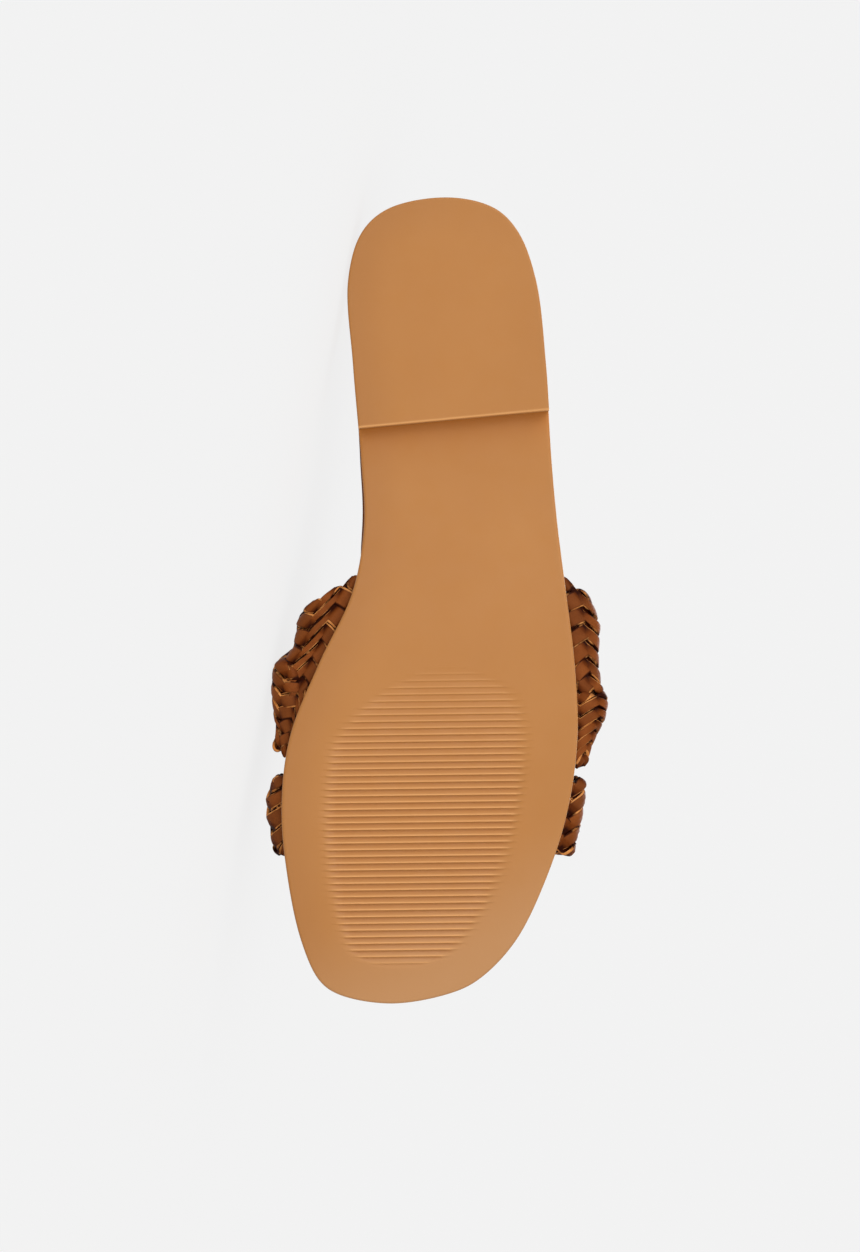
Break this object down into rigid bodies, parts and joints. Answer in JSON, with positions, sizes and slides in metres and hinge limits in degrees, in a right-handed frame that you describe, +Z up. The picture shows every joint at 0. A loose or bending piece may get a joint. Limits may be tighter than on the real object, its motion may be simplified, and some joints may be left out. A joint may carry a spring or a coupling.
{
  "type": "slide sandal",
  "caption": "Flat right-foot slide sandal lying on its inner side: moulded caramel sole with low heel, padded insole, braided brown straps crossing over the instep and a braided toe strap.",
  "frame": {"origin": "on the floor under the middle of the lying sandal's box", "axes": "+X along the sandal towards the toe, the underside of the sole faces -Y and slightly up, +Z up from the floor, which is the wearer's right"},
  "size_m": [0.2514, 0.072, 0.1048],
  "materials": {
    "sole_rubber": "satin moulded caramel rubber",
    "heel_rubber": "satin moulded caramel rubber",
    "insole_cover": "smooth brown footbed cover",
    "cross_strap_leather": "smooth semi-gloss brown strips with tan cut edges",
    "toe_strap_leather": "smooth semi-gloss brown strips with tan cut edges"
  },
  "bodies": {
    "root": {"outsole": "sole_rubber", "heel_lift": "heel_rubber", "insole": "insole_cover", "cross_straps": "cross_strap_leather", "toe_strap": "toe_strap_leather"}
  },
  "joints": []
}
